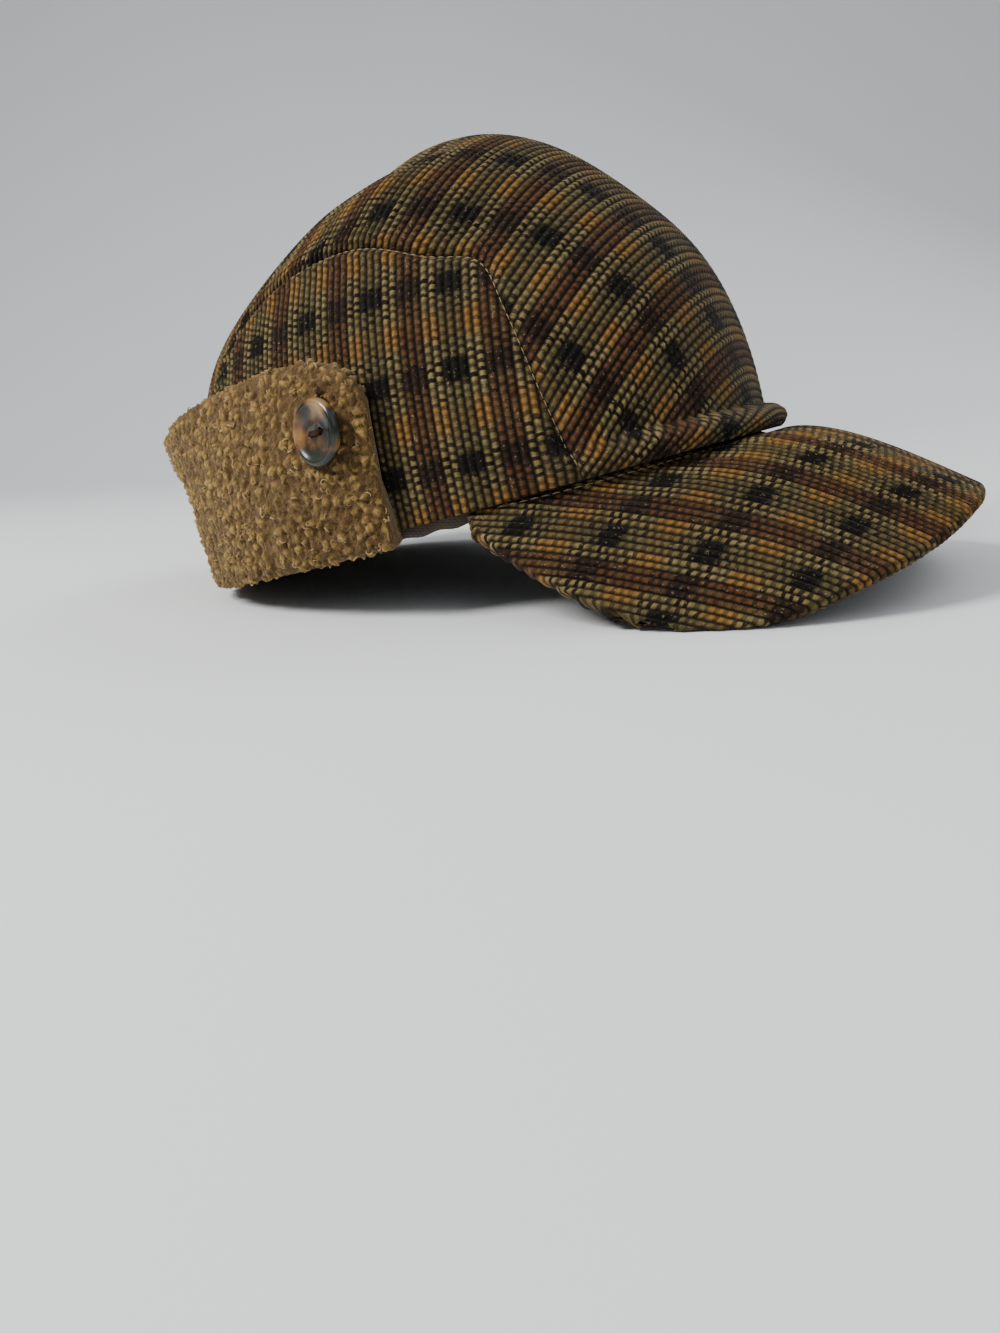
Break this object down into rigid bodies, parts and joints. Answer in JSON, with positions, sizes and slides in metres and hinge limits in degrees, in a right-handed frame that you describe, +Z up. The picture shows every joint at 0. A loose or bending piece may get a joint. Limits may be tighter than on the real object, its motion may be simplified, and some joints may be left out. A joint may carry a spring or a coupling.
{
  "type": "peaked cap with turned-up ear flaps",
  "caption": "Corduroy cap in the deerstalker manner: paneled soft crown, stiff drooping front peak, and a fleece-faced ear and neck flap turned up and buttoned at the sides.",
  "frame": {"origin": "centre of the bounding box's bottom, on the table that the hat rests on", "axes": "+X to the front of the hat, +Y to the wearer's left, +Z up"},
  "size_m": [0.2738, 0.1866, 0.1424],
  "materials": {
    "corduroy": "velvety cotton corduroy woven in an olive, rust and dark brown check",
    "facing": "plain dark cotton",
    "fleece": "curled camel pile",
    "horn": "polished mottled horn look",
    "thread": "matt twisted thread"
  },
  "bodies": {
    "root": {"crown_centre_panel": "corduroy", "crown_side_panel_right": "corduroy", "crown_side_panel_left": "corduroy", "hem_facing": "facing", "peak_top": "corduroy", "peak_underside": "corduroy", "flap_fleece": "fleece", "flap_backing": "corduroy", "button_right": "horn", "button_thread_right": "thread", "button_left": "horn", "button_thread_left": "thread"}
  },
  "joints": []
}
